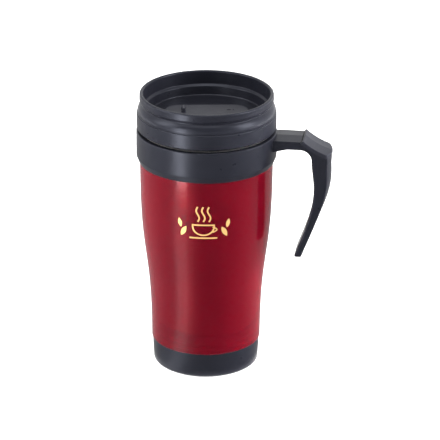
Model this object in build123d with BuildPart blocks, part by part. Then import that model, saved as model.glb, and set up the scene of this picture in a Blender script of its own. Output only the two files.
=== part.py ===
"""Insulated travel mug: double-walled cup with a hook handle and a push-fit lid with a drink slider.

Frame: millimetres, +Z up, origin at the middle of the standing face, handle along +X.
"""
import os
from math import exp

from build123d import *

# ---- Overall ----
mug_h = 151.1           # standing face to the top of the collar
collar_r = 42.5         # outside of the collar, the widest round part
lid_h = 23.4            # top of the collar to the lid's rim

# ---- Clearances ----
fixed_gap = 0.05        # between pieces pressed or staked together
run_gap = 0.05          # between pieces that slide on each other
lid_shadow = 2.0        # open gap between the lid's skirt and the collar

# ---- Outer shell: an S-shaped side, narrow at the waist and wide at the shoulder ----
shell_wall = 1.8
waist_r = 33.3
swell_z = 70.5          # height where the side leans most
swell_soft = 13.8       # how gently the side swells
shell_edge = 0.5        # rounding of the bottom edge
shell_stations = 11     # heights that the side curve passes through

# ---- Collar ----
collar_wall = 1.95
collar_h = 19.4
collar_lip = 5.1        # collar top to the shell's top edge
ledge_gap = 1.7         # between the liner's outside and the ledge that holds its lip
collar_bevel_h = 3.7    # height of the bevel at the lower edge
collar_bevel_w = 1.45

# ---- Inner liner ----
air_gap = 2.2           # between shell and liner
liner_wall = 0.6
liner_floor = 0.8
liner_round = 7.0       # outside rounding of the bottom corner
flange_t = 1.0          # the lip that hangs in the collar
flange_w = 3.2          # how far the lip reaches out from the liner's outside
mouth_h = 19.0          # straight part of the mouth, which the lid's plug fills
mouth_blend = 12.0      # height over which the swollen side runs into the straight mouth
liner_lift = 1.5        # from the cap's spigot up to the liner
liner_stations = 8      # heights that the side curve passes through

# ---- Base cap ----
cap_h = 15.7            # standing face to the seam with the shell
cap_wall = 2.35
cap_floor = 2.4
cap_step = 0.55         # the shell stands proud of the cap by this much
cap_taper = 0.75        # the cap narrows by this much towards the bottom
cap_edge = 1.8          # rounding of the bottom edge
spigot_h = 6.0          # collar of the cap that stands inside the shell
foot_groove_r = 23.5
foot_groove_w = 3.0
foot_groove_d = 0.6
base_seal_r = 0.65      # radius of the seal's round section

# ---- Handle ----
handle_half_w = 10.0
arm_step = 2.0          # collar top down to the edges of the arm's top
arm_crown = 0.7         # the middle of the arm's top stands above its edges
arm_t = 5.1
arm_len = 16.0          # collar to the start of the thumb rest
arm_flare = 2.2         # extra depth of the arm where it joins the collar
arm_flare_len = 7.5
bend_r = 7.0            # inside bend between arm and grip
grip_crown = 1.9        # bulge of the outer face behind the thumb rest
grip_in_round = 1.1     # rounding along the grip's inner face
grip_out_round = 0.9    # and along its outer face
tip_round = 0.8
# From the top: drop below the collar's top, reach of the inner face beyond the collar,
# thickness at the sides, bulge of the outer face, half width
grip_sections = [
    (15.1, 22.4, 9.4, grip_crown, handle_half_w),
    (25.0, 23.3, 8.5, grip_crown, handle_half_w),
    (35.0, 23.8, 7.2, 1.5, handle_half_w),
    (45.0, 22.5, 5.9, 1.0, 9.9),
    (54.0, 20.3, 5.0, 0.8, 9.8),
    (65.0, 16.8, 4.5, 0.7, 9.6),
    (77.3, 12.3, 4.4, 0.6, 9.4),
]

# ---- Thumb rest ----
rest_t = 1.5            # thickness at its sides
rest_ridge = 0.6        # its middle stands above its sides
rest_over = 0.9         # overhang at each side of the grip
rest_nose = 0.4         # how far the outer end passes the grip's face
rest_bow = 2.8          # bow of the outer end, seen from above
rest_corner = 2.0       # rounding of its outer corners
rest_wrap = 0.8         # its sides hang this far over the handle's sides
rest_past = 3.4         # the seat's curve is drawn on past the grip's face by this much
rest_drop = 10.2        # and falls this far below the arm's edge by then
rest_sag = 1.65         # depth of its hollow, for the thumb
rest_edge = 0.5
rest_peg_r = 1.5
rest_peg_h = 2.5
rest_peg_y = 5.0

# ---- Lid ----
skirt_inset = 0.3       # skirt inside the collar's radius
skirt_wall = 1.9
skirt_h = 8.8
shoulder_h = 6.3        # rounded shoulder above the skirt
shoulder_w = 2.6
shoulder_step = 0.5     # small step between skirt and shoulder
rim_inset = 2.0         # rim inside the collar's radius
rim_t = 2.2
waist_in = 1.3          # depth of the waist below the rim
waist_h = 2.0           # height of the slope from waist to rim
well_draft = 0.5        # the well narrows by this much from the rim to its ledge
well_step_drop = 8.2    # rim down to the ledge in the well
well_step_w = 1.4
well_step_h = 1.2
well_floor_drop = 14.7  # rim down to the well's floor
well_slope = 1.0        # the well narrows by this much below the ledge
lid_floor = 2.4
plug_inset = 0.6        # plug inside the liner's mouth
plug_wall = 2.0
plug_h = 9.6
seat_w = 2.2            # rib that stands on the liner's lip
channel_h = 9.4         # hollow between seat rib and skirt

# ---- Lid gasket ----
gasket_h = 3.4
gasket_d = 1.2          # depth of its groove
gasket_drop = 3.7       # collar top down to the groove
gasket_lips = 2

# ---- Slider ----
lid_turn = 9            # degrees from the handle to the slide; the lid seats at any angle
slide_travel = 9.0
slider_end_gap = 1.0    # left to the well's wall when the slider is open
slider_half_w = 9.5
slider_t = 3.35
slider_edge = 0.7
drink_l = 6.0           # drink opening along the slide
drink_w = 9.0
drink_round = 1.8
pad_margin = 1.5        # pad reaches past the drink opening by this much
pad_t = 1.0
peg_from_end = 16.0     # slider's closed end to the middle of the peg
bar_from_end = 11.5     # and to the middle of the thumb bar
peg_l = 8.0
peg_w = 4.0
peg_round = 1.2
pin_r = 1.5
clip_l = 12.0
clip_w = 8.0
clip_t = 1.6
bar_l = 8.0             # thumb bar, across the slide
bar_w = 3.0
bar_h = 2.2
bar_taper = 22          # degrees
bar_round = 0.8
mark_from_end = 12.0    # drinking end to the small marks on top
mark_l = 2.6
mark_w = 0.9
mark_d = 1.2

# ---- Worked out ----
shoulder_r = collar_r - collar_wall - fixed_gap
shell_top = mug_h - collar_lip
mouth_r = shoulder_r - shell_wall - air_gap - liner_wall
plug_r = mouth_r - plug_inset
rim_z = mug_h + lid_h
rim_r = collar_r - rim_inset
skirt_r = collar_r - skirt_inset
skirt_z = mug_h + lid_shadow
well_r = rim_r - rim_t
floor_z = rim_z - well_floor_drop
ledge_r = well_r - well_draft
floor_r = ledge_r - well_step_w - well_slope
slider_half_l = floor_r - slide_travel - slider_end_gap
slider_z = floor_z + run_gap
drink_x = slider_half_l - slide_travel + drink_l / 2
peg_x = peg_from_end - slider_half_l


def shell_r(z):
    """Outside radius of the shell at height z."""
    return waist_r + (shoulder_r - waist_r) / (1 + exp((swell_z - z) / swell_soft))


def track_plane(z):
    """Plane at height z whose x runs along the lid's slide."""
    return Plane.XY.offset(z).rotated((0, 0, lid_turn))


def stations(low, high, count):
    """Evenly spaced heights from low to high."""
    return [low + (high - low) * i / (count - 1) for i in range(count)]


def round_corners(sketch, corners):
    """Round each (x, y, radius) corner of the outline being drawn."""
    for x, y, radius in corners:
        fillet(sketch.vertices().sort_by_distance((x, y))[0], radius)


def save(part, name):
    """Label a finished piece and write its file."""
    part.label = name
    export_step(part, f"parts/{name}.step")


os.makedirs("parts", exist_ok=True)

# ---- Outer shell ----
shell_heights = stations(cap_h, shell_top, shell_stations)
with BuildPart() as outer_shell:
    with BuildSketch(Plane.XZ) as section:
        with BuildLine():
            outside = Spline(*[(shell_r(z), z) for z in shell_heights])
            inside = Spline(*[(shell_r(z) - shell_wall, z) for z in shell_heights])
            Line(outside @ 0, inside @ 0)
            Line(outside @ 1, inside @ 1)
        make_face()
        round_corners(section, [(shell_r(cap_h), cap_h, shell_edge)])
    revolve(axis=Axis.Z)
save(outer_shell.part, "outer_shell")

# ---- Inner liner: a cup that hangs by its lip in the collar ----
liner_z = cap_h + spigot_h + liner_lift
liner_r = mouth_r + liner_wall
flange_r = liner_r + flange_w


def liner_out(z):
    """Outside radius of the liner below its straight mouth."""
    return min(shell_r(z) - shell_wall - air_gap, liner_r)


liner_heights = stations(liner_z + liner_round, mug_h - mouth_h - mouth_blend, liner_stations)
with BuildPart() as inner_liner:
    with BuildSketch(Plane.XZ):
        with BuildLine():
            outside = Spline(
                *[(liner_out(z), z) for z in liner_heights],
                (liner_r, mug_h - mouth_h),
            )
            inside = Spline(
                *[(liner_out(z) - liner_wall, z) for z in liner_heights],
                (mouth_r, mug_h - mouth_h),
            )
            Polyline(
                outside @ 1,
                (liner_r, mug_h - flange_t),
                (flange_r, mug_h - flange_t),
                (flange_r, mug_h),
                (mouth_r, mug_h),
                inside @ 1,
            )
            low_out = outside @ 0
            low_in = inside @ 0
            inner_round = liner_round - liner_floor
            foot = Line((0, liner_z), (low_out.X - liner_round, liner_z))
            RadiusArc(foot @ 1, low_out, -liner_round)
            bowl = Line(
                (0, liner_z + liner_floor),
                (low_in.X - inner_round, liner_z + liner_floor),
            )
            RadiusArc(bowl @ 1, low_in, -inner_round)
            Line(foot @ 0, bowl @ 0)
        make_face()
    revolve(axis=Axis.Z)
save(inner_liner.part, "inner_liner")

# ---- Handle blank: an arm with its corner, and a grip lofted down from it ----
collar_in = shoulder_r + fixed_gap
root_x = collar_in + 0.3
arm_edge = mug_h - arm_step
arm_low = arm_edge - arm_t
rest_x = collar_r + arm_len
top_drop, top_reach, top_t, top_crown, top_half_w = grip_sections[0]
grip_top_z = mug_h - top_drop
inner_x = collar_r + top_reach
grip_x = inner_x + top_t + top_crown
seat_from = Vector(rest_x, arm_edge)
seat_to = Vector(grip_x + rest_past, arm_edge - rest_drop)
seat_down = Vector(-rest_drop, rest_x - seat_to.X).normalized()
seat_middle = (seat_from + seat_to) * 0.5 + seat_down * rest_sag
peg_axis = Axis((seat_middle.X, 0, seat_middle.Y), (-seat_down.X, 0, -seat_down.Y))
peg_plane = Plane(origin=peg_axis.position, x_dir=(0, 1, 0), z_dir=peg_axis.direction)


def grip_outline(inner, side, crown, half_w):
    """Outline of the grip seen from above: flat inside, bulging by crown past its side edges."""
    Polyline((side, half_w), (inner, half_w), (inner, -half_w), (side, -half_w))
    ThreePointArc((side, -half_w), (side + crown, 0), (side, half_w))


with BuildPart() as handle_blank:
    with BuildSketch(Plane.XZ) as section:
        with BuildLine():
            ThreePointArc(seat_from, seat_middle, seat_to)
            grip_end = Polyline(
                seat_to,
                (grip_x, grip_top_z),
                (inner_x, grip_top_z),
                (inner_x, arm_low - bend_r),
            )
            bend = RadiusArc(grip_end @ 1, (inner_x - bend_r, arm_low), -bend_r)
            Polyline(
                bend @ 1,
                (collar_r + arm_flare_len, arm_low),
                (root_x, arm_low - arm_flare),
                (root_x, arm_edge),
                seat_from,
            )
        make_face()
        round_corners(section, [(collar_r + arm_flare_len, arm_low, bend_r)])
    extrude(amount=handle_half_w, both=True)
    with BuildSketch(Plane.XY.offset(grip_top_z - arm_flare)) as plan:
        with BuildLine():
            grip_outline(root_x, inner_x + top_t, top_crown, top_half_w)
        make_face()
        round_corners(
            plan,
            [
                (inner_x + top_t, top_half_w, grip_out_round),
                (inner_x + top_t, -top_half_w, grip_out_round),
            ],
        )
    extrude(amount=arm_edge - grip_top_z + 2 * arm_flare, mode=Mode.INTERSECT)
    for drop, reach, thickness, crown, half_w in grip_sections:
        inner = collar_r + reach
        side = inner + thickness
        with BuildSketch(Plane.XY.offset(mug_h - drop)) as outline:
            with BuildLine():
                grip_outline(inner, side, crown, half_w)
            make_face()
            round_corners(
                outline,
                [
                    (side, half_w, grip_out_round),
                    (side, -half_w, grip_out_round),
                    (inner, half_w, grip_in_round),
                    (inner, -half_w, grip_in_round),
                ],
            )
    loft()
    fillet(handle_blank.faces().sort_by(Axis.Z)[0].edges(), tip_round)
    with BuildSketch(Plane.YZ.offset(root_x)):
        with BuildLine():
            Polyline(
                (-handle_half_w, arm_edge),
                (0, arm_edge + arm_crown),
                (handle_half_w, arm_edge),
                close=True,
            )
        make_face()
    extrude(amount=rest_x - root_x)

# ---- Collar with the handle moulded on ----
ledge_z = mug_h - flange_t
with BuildPart() as collar_handle:
    with BuildSketch(Plane.XZ) as section:
        with BuildLine():
            Polyline(
                (collar_in, mug_h - collar_h),
                (collar_r - collar_bevel_w, mug_h - collar_h),
                (collar_r, mug_h - collar_h + collar_bevel_h),
                (collar_r, mug_h),
                (flange_r + fixed_gap, mug_h),
                (flange_r + fixed_gap, ledge_z),
                (liner_r + ledge_gap, ledge_z),
                (liner_r + ledge_gap, shell_top + fixed_gap),
                (collar_in, shell_top + fixed_gap),
                close=True,
            )
        make_face()
        round_corners(
            section,
            [
                (collar_r - collar_bevel_w, mug_h - collar_h, 0.4),
                (collar_r, mug_h - collar_h + collar_bevel_h, 2.5),
                (collar_r, mug_h, 0.6),
            ],
        )
    revolve(axis=Axis.Z)
    add(handle_blank.part)
    with BuildSketch(peg_plane.offset(rest_t)):
        with Locations((-rest_peg_y, 0), (rest_peg_y, 0)):
            Circle(rest_peg_r + fixed_gap)
    extrude(amount=-rest_t - rest_peg_h - fixed_gap, mode=Mode.SUBTRACT)
save(collar_handle.part, "collar_handle")

# ---- Thumb rest: a hollowed pad pegged onto the corner of arm and grip ----
rest_half_w = handle_half_w + rest_over
rest_in = handle_half_w + fixed_gap
nose_x = grip_x + rest_nose
with BuildPart() as thumb_rest:
    with BuildLine() as seat:
        ThreePointArc([(point.X, 0, point.Y) for point in (seat_from, seat_middle, seat_to)])
    with BuildSketch(Plane(origin=seat.line @ 0, x_dir=(0, 1, 0), z_dir=seat.line % 0)):
        with BuildLine():
            Polyline(
                (rest_in, fixed_gap),
                (-rest_in, fixed_gap),
                (-rest_in, -rest_wrap),
                (-rest_half_w, -rest_wrap),
                (-rest_half_w, rest_t),
                (0, rest_t + rest_ridge),
                (rest_half_w, rest_t),
                (rest_half_w, -rest_wrap),
                (rest_in, -rest_wrap),
                close=True,
            )
        make_face()
    sweep(path=seat.line)
    with BuildSketch(Plane.XY.offset(seat_to.Y - rest_drop)) as plan:
        with BuildLine():
            grip_outline(rest_x - rest_t, nose_x - rest_bow, rest_bow, rest_half_w)
        make_face()
        round_corners(
            plan,
            [
                (nose_x - rest_bow, rest_half_w, rest_corner),
                (nose_x - rest_bow, -rest_half_w, rest_corner),
            ],
        )
    extrude(amount=3 * rest_drop, mode=Mode.INTERSECT)
    top = thumb_rest.faces().filter_by(lambda face: face.normal_at().dot(peg_axis.direction) > 0.9)
    fillet(top.edges().filter_by(lambda edge: abs(edge.center().Y) > 0.01), rest_edge)
    with BuildSketch(peg_plane.offset(rest_t / 2)):
        with Locations((-rest_peg_y, 0), (rest_peg_y, 0)):
            Circle(rest_peg_r)
    extrude(amount=-rest_t / 2 - rest_peg_h)
save(thumb_rest.part, "thumb_rest")

# ---- Base cap with its spigot inside the shell ----
spigot_r = shell_r(cap_h) - shell_wall - fixed_gap
cap_top_r = shell_r(cap_h) - cap_step
cap_low_r = cap_top_r - cap_taper
spigot_top = cap_h + spigot_h
seal_z = cap_h + spigot_h / 2
seal_groove = 2 * base_seal_r + 0.2
seal_groove_r = spigot_r - 2 * base_seal_r - fixed_gap
with BuildPart() as base_cap:
    with BuildSketch(Plane.XZ) as section:
        with BuildLine():
            Polyline(
                (0, 0),
                (cap_low_r, 0),
                (cap_top_r, cap_h),
                (spigot_r, cap_h),
                (spigot_r, seal_z - seal_groove / 2),
                (seal_groove_r, seal_z - seal_groove / 2),
                (seal_groove_r, seal_z + seal_groove / 2),
                (spigot_r, seal_z + seal_groove / 2),
                (spigot_r, spigot_top),
                (spigot_r - cap_wall, spigot_top),
                (spigot_r - cap_wall, cap_floor),
                (0, cap_floor),
                close=True,
            )
        make_face()
        round_corners(
            section,
            [
                (cap_low_r, 0, cap_edge),
                (spigot_r - cap_wall, cap_floor, cap_edge),
                (cap_top_r, cap_h, 0.3),
            ],
        )
    revolve(axis=Axis.Z)
    with BuildSketch():
        Circle(foot_groove_r + foot_groove_w / 2)
        Circle(foot_groove_r - foot_groove_w / 2, mode=Mode.SUBTRACT)
    extrude(amount=foot_groove_d, mode=Mode.SUBTRACT)
save(base_cap.part, "base_cap")

# ---- Base seal: an O-ring between the cap's spigot and the shell ----
with BuildPart() as base_seal:
    with BuildSketch(Plane.XZ):
        with Locations((spigot_r - base_seal_r, seal_z)):
            Circle(base_seal_r)
    revolve(axis=Axis.Z)
save(base_seal.part, "base_seal")

# ---- Lid: rim, waist, shoulder and skirt outside; well, floor and plug inside ----
plug_in = plug_r - plug_wall
seat_r = plug_r + seat_w
seat_z = mug_h + run_gap
shoulder_z = skirt_z + skirt_h
waist_z = shoulder_z + shoulder_h
lid_waist_r = rim_r - waist_in
groove_top = mug_h - gasket_drop
groove_low = groove_top - gasket_h
step_z = rim_z - well_step_drop
with BuildPart() as lid_body:
    with BuildSketch(Plane.XZ) as section:
        with BuildLine():
            under = Polyline(
                (0, floor_z),
                (0, floor_z - lid_floor),
                (plug_in, floor_z - lid_floor),
                (plug_in, mug_h - plug_h),
                (plug_r, mug_h - plug_h),
                (plug_r, groove_low),
                (plug_r - gasket_d, groove_low),
                (plug_r - gasket_d, groove_top),
                (plug_r, groove_top),
                (plug_r, seat_z),
                (seat_r, seat_z),
                (seat_r, mug_h + channel_h),
                (skirt_r - skirt_wall, mug_h + channel_h),
                (skirt_r - skirt_wall, skirt_z),
                (skirt_r, skirt_z),
                (skirt_r, shoulder_z),
                (skirt_r - shoulder_step, shoulder_z + 0.6 * shoulder_step),
            )
            shoulder = ThreePointArc(
                under @ 1,
                (skirt_r - 0.38 * shoulder_w, shoulder_z + 0.62 * shoulder_h),
                (lid_waist_r, waist_z),
            )
            Polyline(
                shoulder @ 1,
                (rim_r, waist_z + waist_h),
                (rim_r, rim_z),
                (well_r, rim_z),
                (ledge_r, step_z),
                (ledge_r - well_step_w, step_z - well_step_h),
                (floor_r, floor_z),
                (0, floor_z),
            )
        make_face()
        round_corners(
            section,
            [
                (rim_r, rim_z, 0.45 * rim_t),
                (well_r, rim_z, 0.45 * rim_t),
                (rim_r, waist_z + waist_h, 0.7),
                (lid_waist_r, waist_z, 0.6),
                (skirt_r, shoulder_z, 0.4),
                (skirt_r, skirt_z, 0.5),
                (ledge_r, step_z, 0.4),
                (ledge_r - well_step_w, step_z - well_step_h, 0.5),
                (floor_r, floor_z, 0.8),
                (plug_in, floor_z - lid_floor, 1.0),
                (plug_r, mug_h - plug_h, 0.6),
            ],
        )
    revolve(axis=Axis.Z)
    with BuildSketch(track_plane(floor_z)):
        with Locations((drink_x, 0)):
            RectangleRounded(drink_l, drink_w, drink_round)
        with Locations((peg_x - slide_travel / 2, 0)):
            RectangleRounded(
                peg_l + slide_travel + 2 * run_gap,
                peg_w + 2 * run_gap,
                peg_round + run_gap,
            )
    extrude(amount=-lid_floor, mode=Mode.SUBTRACT)
save(lid_body.part, "lid_body")

# ---- Lid gasket: a ring with soft lips that wipe the liner's mouth ----
gasket_out = plug_r - 0.1
lip_r = mouth_r - run_gap - gasket_out
with BuildPart() as lid_gasket:
    with BuildSketch(Plane.XZ):
        with BuildLine():
            Polyline(
                (plug_r - gasket_d + fixed_gap, groove_low + fixed_gap),
                (gasket_out, groove_low + fixed_gap),
                (gasket_out, groove_top - fixed_gap),
                (plug_r - gasket_d + fixed_gap, groove_top - fixed_gap),
                close=True,
            )
        make_face()
        with Locations((gasket_out, (groove_low + groove_top) / 2)):
            with GridLocations(0, gasket_h / 2, 1, gasket_lips):
                Circle(lip_r)
    revolve(axis=Axis.Z)
save(lid_gasket.part, "lid_gasket")

# ---- Slider: a long plate with a thumb bar, a peg through the floor and a pin for the clip ----
with BuildPart() as slider:
    with BuildSketch(track_plane(slider_z)):
        SlotOverall(2 * slider_half_l, 2 * slider_half_w)
    extrude(amount=slider_t)
    fillet(slider.edges().group_by(Axis.Z)[-1], slider_edge)
    with BuildSketch(track_plane(slider_z)):
        with Locations((drink_x, 0)):
            RectangleRounded(drink_l + 2 * pad_margin, drink_w + 2 * pad_margin, drink_round + pad_margin)
    extrude(amount=pad_t, mode=Mode.SUBTRACT)
    with BuildSketch(track_plane(slider_z)):
        with Locations((peg_x, 0)):
            RectangleRounded(peg_l, peg_w, peg_round)
    extrude(amount=-lid_floor - 2 * run_gap)
    with BuildSketch(track_plane(slider_z)):
        with Locations((peg_x, 0)):
            Circle(pin_r)
    extrude(amount=-lid_floor - 2 * run_gap - clip_t)
    with BuildSketch(track_plane(slider_z + slider_t)):
        with Locations((bar_from_end - slider_half_l, 0)):
            RectangleRounded(bar_w, bar_l, bar_round)
    extrude(amount=bar_h, taper=bar_taper)
    with BuildSketch(track_plane(slider_z + slider_t)):
        with Locations((slider_half_l - mark_from_end, 0)):
            SlotOverall(mark_l, mark_w)
        with Locations((slider_half_l - mark_from_end + mark_l, 0)):
            Circle(mark_w / 2)
    extrude(amount=-mark_d, mode=Mode.SUBTRACT)
save(slider.part, "slider")

# ---- Slider pad: closes the drink opening ----
with BuildPart() as slider_pad:
    with BuildSketch(track_plane(slider_z)):
        with Locations((drink_x, 0)):
            RectangleRounded(
                drink_l + 2 * pad_margin - 2 * fixed_gap,
                drink_w + 2 * pad_margin - 2 * fixed_gap,
                drink_round + pad_margin - fixed_gap,
            )
    extrude(amount=pad_t - fixed_gap)
save(slider_pad.part, "slider_pad")

# ---- Slider clip: staked on the pin, it holds the slider down from below the floor ----
with BuildPart() as slider_clip:
    with BuildSketch(track_plane(slider_z - lid_floor - 2 * run_gap)):
        with Locations((peg_x, 0)):
            RectangleRounded(clip_l, clip_w, peg_round)
            Circle(pin_r + fixed_gap, mode=Mode.SUBTRACT)
    extrude(amount=-clip_t)
save(slider_clip.part, "slider_clip")
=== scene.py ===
"""Looks of the insulated travel mug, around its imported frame.

Metres, +Z up, the mug stands on z = 0 and its handle points along +X.
Azimuths are degrees from the front (-Y) towards the handle (+X).
"""
import math

import bpy
from mathutils import Matrix, Vector
from mathutils.bvhtree import BVHTree


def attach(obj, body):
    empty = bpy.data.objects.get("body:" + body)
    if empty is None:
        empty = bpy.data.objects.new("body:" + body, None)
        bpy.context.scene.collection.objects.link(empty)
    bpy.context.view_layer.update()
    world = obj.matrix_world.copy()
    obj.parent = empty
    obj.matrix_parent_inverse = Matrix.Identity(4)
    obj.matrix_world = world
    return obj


MM = 0.001

# ---- View ----
VIEW_AZIMUTH = 7.5
VIEW_ELEVATION = 22.7
VIEW_DISTANCE = 1.789       # from the axis to the camera
VIEW_HEIGHT = 91.3 * MM     # height of the point on the axis that the camera is placed from
VIEW_SIDESTEP = 8.4 * MM    # how far to the right of that point it looks
VIEW_ROLL = 0.32
LENS = 239.3                # millimetres, on a sensor of the next width
SENSOR_WIDTH = 36
NEAREST = 0.05              # the camera's clipping distances
FARTHEST = 20

# ---- Print ----
PRINT_AZIMUTH = 5.0
PRINT_LOW = 95.5 * MM       # height of its lowest edge
PRINT_LIFT = 0.04 * MM      # how far it stands off the shell
STROKE = 0.95               # millimetres, as all of the print's drawing

# ---- Floor and light ----
FLOOR_HALF = 4.0
FLOOR_GLOW = 0.42
WORLD_DIM = 0.30            # strength of the room's light behind the camera
WORLD_BRIGHT = 0.95         # and behind the mug
WORLD_BLEND = (-0.6, 0.7)   # where along Y the one gives way to the other, as a direction's part

# What the gloss meets low round the mug: (azimuth, brightness)
CARD_GLOW = [
    (-180, 0.50), (-120, 0.50), (-95, 0.50), (-70, 0.42), (-54, 0.60), (-42, 1.75), (-30, 1.70), (-20, 0.70),
    (-10, 0.25), (2, 0.10), (20, 0.08), (50, 0.12), (72, 0.22), (92, 0.38), (108, 0.45), (128, 0.42),
    (150, 0.42), (180, 0.50),
]
CARD_STEPS = 6              # strips between two of those azimuths
CARD_INNER = 35 * MM
CARD_OUTER = 750 * MM
CARD_HEIGHT = 0.6 * MM

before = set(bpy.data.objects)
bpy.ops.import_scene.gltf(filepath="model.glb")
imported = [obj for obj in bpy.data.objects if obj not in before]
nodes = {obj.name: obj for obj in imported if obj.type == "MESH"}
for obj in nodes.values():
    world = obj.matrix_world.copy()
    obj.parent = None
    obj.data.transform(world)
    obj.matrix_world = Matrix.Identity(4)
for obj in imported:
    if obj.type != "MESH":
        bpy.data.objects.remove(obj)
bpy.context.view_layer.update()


def direction(azimuth, elevation=0.0):
    """The unit vector that points out from the mug at an azimuth and elevation in degrees."""
    a = math.radians(azimuth)
    e = math.radians(elevation)
    return Vector((math.sin(a) * math.cos(e), -math.cos(a) * math.cos(e), math.sin(e)))


def put_in_scene(name, data):
    """A new object of the scene with this mesh, light or camera."""
    item = bpy.data.objects.new(name, data)
    bpy.context.scene.collection.objects.link(item)
    return item


# ---- Shader helpers ----
class Shader:
    """A material being built: its nodes, links and main shader."""

    def __init__(self, name):
        self.material = bpy.data.materials.new(name)
        self.material.use_nodes = True
        self.tree = self.material.node_tree
        self.main = self.tree.nodes["Principled BSDF"]

    def add(self, kind, **inputs):
        """A new node; keyword arguments set its inputs, or its properties where it has no such input."""
        node = self.tree.nodes.new(kind)
        for key, value in inputs.items():
            name = key.replace("_", " ")
            if name in node.inputs:
                node.inputs[name].default_value = value
            else:
                setattr(node, key, value)
        return node

    def link(self, source, target):
        self.tree.links.new(source, target)

    def drive(self, **sources):
        """Links outputs of other nodes to the main shader's sockets."""
        for key, source in sources.items():
            self.link(source, self.main.inputs[key.replace("_", " ")])

    def set(self, **values):
        """Plain values on the main shader's own sockets."""
        for key, value in values.items():
            self.main.inputs[key.replace("_", " ")].default_value = value

    def noise(self, scale, detail=4.0, roughness=0.55, stretch=(1, 1, 1)):
        """Noise in object coordinates, scale in bumps per metre."""
        coordinates = self.add("ShaderNodeTexCoord")
        mapping = self.add("ShaderNodeMapping", Scale=stretch)
        noise = self.add("ShaderNodeTexNoise", Scale=scale, Detail=detail, Roughness=roughness)
        self.link(coordinates.outputs["Object"], mapping.inputs["Vector"])
        self.link(mapping.outputs["Vector"], noise.inputs["Vector"])
        return noise.outputs["Fac"]

    def spread(self, factor, low, high, start=0.3, end=0.7):
        """Maps a factor from start..end, where most noise lies, to low..high."""
        ramp = self.add("ShaderNodeMapRange", From_Min=start, From_Max=end, To_Min=low, To_Max=high)
        self.link(factor, ramp.inputs["Value"])
        return ramp.outputs["Result"]

    def blend(self, factor, first, second):
        """A colour between two plain colours by factor."""
        mix = self.add("ShaderNodeMix", data_type="RGBA")
        self.link(factor, mix.inputs["Factor"])
        mix.inputs["A"].default_value = (*first, 1)
        mix.inputs["B"].default_value = (*second, 1)
        return mix.outputs["Result"]

    def choose(self, factor, first, second):
        """The first of two linked colours where factor is 0, the second where it is 1."""
        mix = self.add("ShaderNodeMix", data_type="RGBA")
        self.link(factor, mix.inputs["Factor"])
        self.link(first, mix.inputs["A"])
        self.link(second, mix.inputs["B"])
        return mix.outputs["Result"]

    def total(self, first, second):
        add = self.add("ShaderNodeMath", operation="ADD")
        self.link(first, add.inputs[0])
        self.link(second, add.inputs[1])
        return add.outputs["Value"]

    def outward(self):
        """1 where the surface faces away from the mug's axis, 0 where it faces it or lies level."""
        coordinates = self.add("ShaderNodeTexCoord")
        across = self.add("ShaderNodeVectorMath", operation="MULTIPLY")
        across.inputs[1].default_value = (1, 1, 0)
        dot = self.add("ShaderNodeVectorMath", operation="DOT_PRODUCT")
        step = self.add("ShaderNodeMath", operation="GREATER_THAN")
        step.inputs[1].default_value = 1 * MM
        self.link(coordinates.outputs["Object"], across.inputs[0])
        self.link(across.outputs["Vector"], dot.inputs[0])
        self.link(coordinates.outputs["Normal"], dot.inputs[1])
        self.link(dot.outputs["Value"], step.inputs[0])
        return step.outputs["Value"]

    def bump(self, height, distance, strength=1.0, under=None):
        """A bumped normal; under is the finer one that it is laid over."""
        bump = self.add("ShaderNodeBump", Distance=distance, Strength=strength)
        self.link(height, bump.inputs["Height"])
        if under:
            self.link(under, bump.inputs["Normal"])
        return bump.outputs["Normal"]


# ---- Materials ----
def moulded_plastic(name, dark, light, rough, grain, grain_depth):
    """Injection-moulded plastic: faint tone variation, a fine spark-eroded grain and handling wear."""
    shader = Shader(name)
    tone = shader.spread(shader.noise(scale=35, detail=3), 0, 1)
    wear = shader.spread(shader.noise(scale=120, detail=6, roughness=0.6), rough - 0.03, rough + 0.05)
    texture = shader.bump(shader.noise(scale=grain, detail=2, roughness=0.5), grain_depth, strength=0.6)
    waves = shader.bump(shader.noise(scale=60, detail=1), 0.03 * MM, strength=0.4, under=texture)
    shader.drive(Base_Color=shader.blend(tone, dark, light), Roughness=wear, Normal=waves)
    shader.set(IOR=1.5, Specular_IOR_Level=0.32, Specular_Tint=(0.80, 0.84, 1.0, 1))
    return shader.material


def tinted_shell():
    """Clear red-tinted plastic: light goes in, meets the steel behind and comes back red."""
    shader = Shader("tinted_shell")
    tone = shader.spread(shader.noise(scale=18, detail=2), 0, 1)
    red = shader.blend(tone, (0.47, 0.0050, 0.034), (0.55, 0.0078, 0.042))
    haze = shader.spread(shader.noise(scale=90, detail=5), 0.10, 0.14)
    flow = shader.bump(shader.noise(scale=9, detail=1, stretch=(1, 1, 0.3)), 0.10 * MM, strength=0.3)
    shader.drive(Base_Color=red, Roughness=haze, Normal=flow)
    shader.set(IOR=1.4, Transmission_Weight=0.87, Specular_IOR_Level=0.15)
    return shader.material


def soft_rubber():
    """Black silicone with a dull, slightly uneven skin."""
    shader = Shader("soft_black")
    tone = shader.spread(shader.noise(scale=50, detail=3), 0, 1)
    black = shader.blend(tone, (0.010, 0.010, 0.011), (0.018, 0.018, 0.020))
    dullness = shader.spread(shader.noise(scale=300, detail=4), 0.55, 0.7)
    skin = shader.bump(shader.noise(scale=2500, detail=2), 0.02 * MM, strength=0.4)
    shader.drive(Base_Color=black, Roughness=dullness, Normal=skin)
    return shader.material


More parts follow.
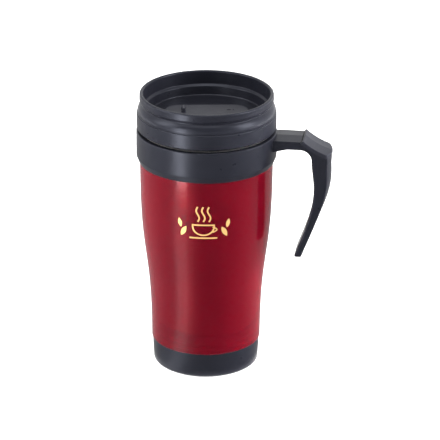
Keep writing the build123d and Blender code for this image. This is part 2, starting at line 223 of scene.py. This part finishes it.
def steel():
    """Drawn stainless steel, lined round the cup: satin inside, smoother outside; the inside is painted much
    brighter than the outside, painted light where the deep cup renders dark.
    """
    shader = Shader("liner_steel")
    lines = shader.noise(scale=260, detail=3, roughness=0.6, stretch=(0.15, 0.15, 12))
    outward = shader.outward()
    # painted light: the inside gets a far brighter steel colour than the darker outside, so that the deep
    # cup does not render dark
    inside = shader.blend(lines, (0.74, 0.73, 0.72), (0.84, 0.83, 0.82))
    outside = shader.blend(lines, (0.42, 0.41, 0.40), (0.50, 0.49, 0.48))
    brushing = shader.spread(outward, 0.40, 0.0, start=0, end=1)
    shader.drive(
        Base_Color=shader.choose(outward, inside, outside),
        Roughness=shader.total(shader.spread(lines, 0.17, 0.25), brushing),
        Normal=shader.bump(lines, 0.01 * MM, strength=0.5),
    )
    shader.set(Metallic=1.0)
    return shader.material


def gold_ink():
    """Screen-printed gold ink: metallic flakes in a warm lacquer, slightly uneven."""
    shader = Shader("gold_ink")
    flakes = shader.spread(shader.noise(scale=5200, detail=3, roughness=0.7), 0, 1)
    shader.drive(
        Base_Color=shader.blend(flakes, (0.74, 0.46, 0.14), (0.92, 0.64, 0.26)),
        Roughness=shader.spread(shader.noise(scale=700, detail=4), 0.34, 0.48),
        Normal=shader.bump(flakes, 0.01 * MM, strength=0.5),
    )
    shader.set(Metallic=0.55)
    return shader.material


def dress_cad_nodes():
    charcoal = moulded_plastic(
        "charcoal", dark=(0.0085, 0.0088, 0.0128), light=(0.0115, 0.0119, 0.0170),
        rough=0.30, grain=2600, grain_depth=0.012 * MM,
    )
    # painted light: this black is lighter than charcoal's, standing in for the light that the thumb rest and
    # slider tops catch; their grain and rougher finish are real
    grained_charcoal_painted_lighter = moulded_plastic(
        "grained_charcoal_painted_lighter", dark=(0.0125, 0.0129, 0.0180), light=(0.0170, 0.0175, 0.0240),
        rough=0.36, grain=1800, grain_depth=0.03 * MM,
    )
    rubber = soft_rubber()
    materials = {
        "outer_shell": tinted_shell(),
        "inner_liner": steel(),
        "collar_handle": charcoal,
        "thumb_rest": grained_charcoal_painted_lighter,
        "base_cap": charcoal,
        "base_seal": rubber,
        "lid_body": charcoal,
        "lid_gasket": rubber,
        "slider": grained_charcoal_painted_lighter,
        "slider_pad": rubber,
        "slider_clip": grained_charcoal_painted_lighter,
    }
    for name, material in materials.items():
        nodes[name].material_slots[0].material = material


dress_cad_nodes()


# ---- Gold print on the shell: steam over a cup, between two pairs of leaves ----
# It is drawn in millimetres: u to the right of its middle, v above its lowest edge.
# Each strip is a list of pairs of points, one on either side of the line that it follows.
def curve(point_at, steps):
    """Points of a curve, where point_at gives the one at 0..1 along it."""
    return [point_at(i / steps) for i in range(steps + 1)]


def ribbon(path, width):
    """A strip of even width along a path."""
    pairs = []
    for i, (u, v) in enumerate(path):
        before = path[max(i - 1, 0)]
        after = path[min(i + 1, len(path) - 1)]
        along = (Vector(after) - Vector(before)).normalized() * width / 2
        pairs.append(((u - along.y, v + along.x), (u + along.y, v - along.x)))
    return pairs


def level_line(half_length, v, steps):
    return ribbon(curve(lambda t: (half_length * (2 * t - 1), v), steps), STROKE)


def bowl(half_width=6.5, top=9.0, depth=6.6):
    def point_at(t):
        turn = math.pi * t
        return -half_width * math.cos(turn), top - depth * math.sin(turn) ** 0.8

    return ribbon(curve(point_at, steps=28), STROKE)


def cup_handle(u=5.6, reach=2.6, top=7.9, drop=3.6):
    def point_at(t):
        return u + reach * math.sin(math.pi * t), top - drop * t

    return ribbon(curve(point_at, steps=12), 0.8 * STROKE)


def steam(u, sway=0.9, low=11.2, height=9.6):
    def point_at(t):
        return u + sway * math.sin(2 * math.pi * t), low + height * t

    return ribbon(curve(point_at, steps=24), STROKE)


def leaf(u, v, lean, length=7.2, width=2.9):
    """A pointed leaf about its middle, leaning anticlockwise by lean degrees."""
    turn = Matrix.Rotation(math.radians(lean), 2)

    def pair_at(t):
        half = width / 2 * math.sin(math.pi * t) ** 0.85 + 0.02
        ends = [turn @ Vector((side * half, (t - 0.5) * length)) for side in (-1, 1)]
        return tuple((u + end.x, v + end.y) for end in ends)

    return curve(pair_at, steps=16)


def motif():
    """All strips of the print."""
    strips = [bowl(), level_line(half_length=6.9, v=9.0, steps=16), cup_handle()]
    strips.append(level_line(half_length=8.5, v=0.5, steps=20))
    strips += [steam(u) for u in (-3.4, 0.0, 3.4)]
    middle = 0.3            # the cup's handle moves the pattern's middle
    for side in (-1, 1):
        strips.append(leaf(middle + 12.5 * side, 4.6, lean=28 * side))
        strips.append(leaf(middle + 14.7 * side, 9.8, lean=-12 * side, length=5.8, width=2.4))
    return strips


def surface_finder(node):
    """A function that gives the point of the node's outside at an azimuth and height."""
    bpy.context.view_layer.update()
    tree = BVHTree.FromObject(node, bpy.context.evaluated_depsgraph_get())
    into = node.matrix_world.inverted()

    def find(azimuth, height):
        outward = direction(azimuth)
        start = outward * 0.2 + Vector((0, 0, height))      # 0.2 m is outside the mug
        hit = tree.ray_cast(into @ start, into.to_3x3() @ -outward)[0]
        return node.matrix_world @ hit + outward * PRINT_LIFT

    return find


def print_on_shell():
    find = surface_finder(nodes["outer_shell"])
    middle_height = PRINT_LOW + 11 * MM
    radius = math.hypot(*find(PRINT_AZIMUTH, middle_height).xy)
    vertices = []
    faces = []
    for strip in motif():
        first = len(vertices)
        for pair in strip:
            for u, v in pair:
                vertices.append(find(PRINT_AZIMUTH + math.degrees(u * MM / radius), PRINT_LOW + v * MM))
        for i in range(len(strip) - 1):
            a = first + 2 * i
            faces.append((a, a + 1, a + 3, a + 2))
    mesh = bpy.data.meshes.new("gold_print")
    mesh.from_pydata(vertices, [], faces)
    mesh.update()
    for polygon in mesh.polygons:
        if polygon.normal.dot(direction(PRINT_AZIMUTH)) < 0:
            polygon.flip()
    mesh.update()
    mesh.materials.append(gold_ink())
    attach(put_in_scene("gold_print", mesh), "cup")


print_on_shell()


# ---- Floor ----
def pale_floor():
    """A wide pale floor that glows a little, so that it runs into the backdrop."""
    corners = [(-1, -1), (1, -1), (1, 1), (-1, 1)]
    mesh = bpy.data.meshes.new("floor")
    mesh.from_pydata([(FLOOR_HALF * x, FLOOR_HALF * y, 0) for x, y in corners], [], [(0, 1, 2, 3)])
    shader = Shader("pale_floor")
    shader.set(Base_Color=(0.90, 0.90, 0.90, 1), Roughness=0.8)
    shader.set(Emission_Color=(1, 1, 1, 1), Emission_Strength=FLOOR_GLOW)
    mesh.materials.append(shader.material)
    put_in_scene("floor", mesh)


pale_floor()


# ---- Light ----
def reflection_card():
    """A card low round the mug that only gloss sees: dim in front, brighter at both sides."""
    vertices = []
    levels = []
    for (start, low), (end, high) in zip(CARD_GLOW, CARD_GLOW[1:]):
        for i in range(CARD_STEPS):
            t = i / CARD_STEPS
            eased = t * t * (3 - 2 * t)
            out = direction(start + (end - start) * t)
            for radius in (CARD_INNER, CARD_OUTER):
                vertices.append((radius * out.x, radius * out.y, CARD_HEIGHT))
                levels.append(low + (high - low) * eased)
    mesh = bpy.data.meshes.new("reflection_card")
    mesh.from_pydata(vertices, [], [(i, i + 1, i + 3, i + 2) for i in range(0, len(vertices) - 2, 2)])
    glow = mesh.color_attributes.new("glow", "FLOAT_COLOR", "POINT")
    for i, level in enumerate(levels):
        glow.data[i].color = (level, level, level, 1)
    shader = Shader("card")
    reader = shader.add("ShaderNodeVertexColor", layer_name="glow")
    shader.drive(Emission_Color=reader.outputs["Color"])
    shader.set(Base_Color=(0, 0, 0, 1), Specular_IOR_Level=0, Roughness=1, Emission_Strength=1)
    mesh.materials.append(shader.material)
    card = put_in_scene("reflection_card", mesh)
    card.visible_camera = False
    card.visible_diffuse = False
    card.visible_shadow = False


reflection_card()


def studio_world():
    """A room that is bright behind the mug and dim behind the camera."""
    world = bpy.data.worlds.new("studio")
    world.use_nodes = True
    tree = world.node_tree
    background = tree.nodes["Background"]
    background.inputs["Color"].default_value = (1, 1, 1, 1)
    coordinates = tree.nodes.new("ShaderNodeTexCoord")
    split = tree.nodes.new("ShaderNodeSeparateXYZ")
    ramp = tree.nodes.new("ShaderNodeMapRange")
    ramp.inputs["From Min"].default_value, ramp.inputs["From Max"].default_value = WORLD_BLEND
    ramp.inputs["To Min"].default_value = WORLD_DIM
    ramp.inputs["To Max"].default_value = WORLD_BRIGHT
    tree.links.new(coordinates.outputs["Generated"], split.inputs["Vector"])
    tree.links.new(split.outputs["Y"], ramp.inputs["Value"])
    tree.links.new(ramp.outputs["Result"], background.inputs["Strength"])
    bpy.context.scene.world = world


studio_world()


def soft_light(name, azimuth, elevation, distance, size, power, aim_height=90 * MM, in_gloss=True):
    """A rectangular soft light of a width and height, which faces the mug's axis; power in watts."""
    data = bpy.data.lights.new(name, "AREA")
    data.shape = "RECTANGLE"
    data.size, data.size_y = size
    data.energy = power
    away = direction(azimuth, elevation)
    lamp = put_in_scene(name, data)
    lamp.visible_glossy = in_gloss
    lamp.location = Vector((0, 0, aim_height)) + away * distance
    lamp.rotation_euler = away.to_track_quat("Z", "Y").to_euler()


SOFTBOX = (0.5, 0.9)        # widths and heights
FILL = (0.4, 0.6)
soft_light("left_strip", -33, 2, distance=0.34, size=(0.10, 0.30), power=0.85, aim_height=120 * MM)
soft_light("left_softbox", -70, 35, distance=1.2, size=SOFTBOX, power=7)
soft_light("right_softbox", 78, 25, distance=1.2, size=SOFTBOX, power=10)
soft_light("top_softbox", 0, 80, distance=1.3, size=(1.0, 1.0), power=7)
soft_light("left_fill", -95, 10, distance=1.0, size=FILL, power=11, in_gloss=False)
soft_light("right_fill", 105, 10, distance=1.0, size=FILL, power=30, in_gloss=False)


# ---- Camera ----
def place_camera():
    on_axis = Vector((0, 0, VIEW_HEIGHT))
    right = direction(VIEW_AZIMUTH + 90)
    data = bpy.data.cameras.new("camera")
    data.lens = LENS
    data.sensor_width = SENSOR_WIDTH
    data.clip_start = NEAREST
    data.clip_end = FARTHEST
    camera = put_in_scene("camera", data)
    camera.location = on_axis + direction(VIEW_AZIMUTH, VIEW_ELEVATION) * VIEW_DISTANCE
    aim = on_axis + right * VIEW_SIDESTEP
    facing = (camera.location - aim).to_track_quat("Z", "Y").to_matrix()
    roll = Matrix.Rotation(math.radians(VIEW_ROLL), 3, "Z")
    camera.rotation_euler = (facing @ roll).to_euler()
    bpy.context.scene.camera = camera


place_camera()
bpy.context.scene.view_settings.view_transform = "Standard"
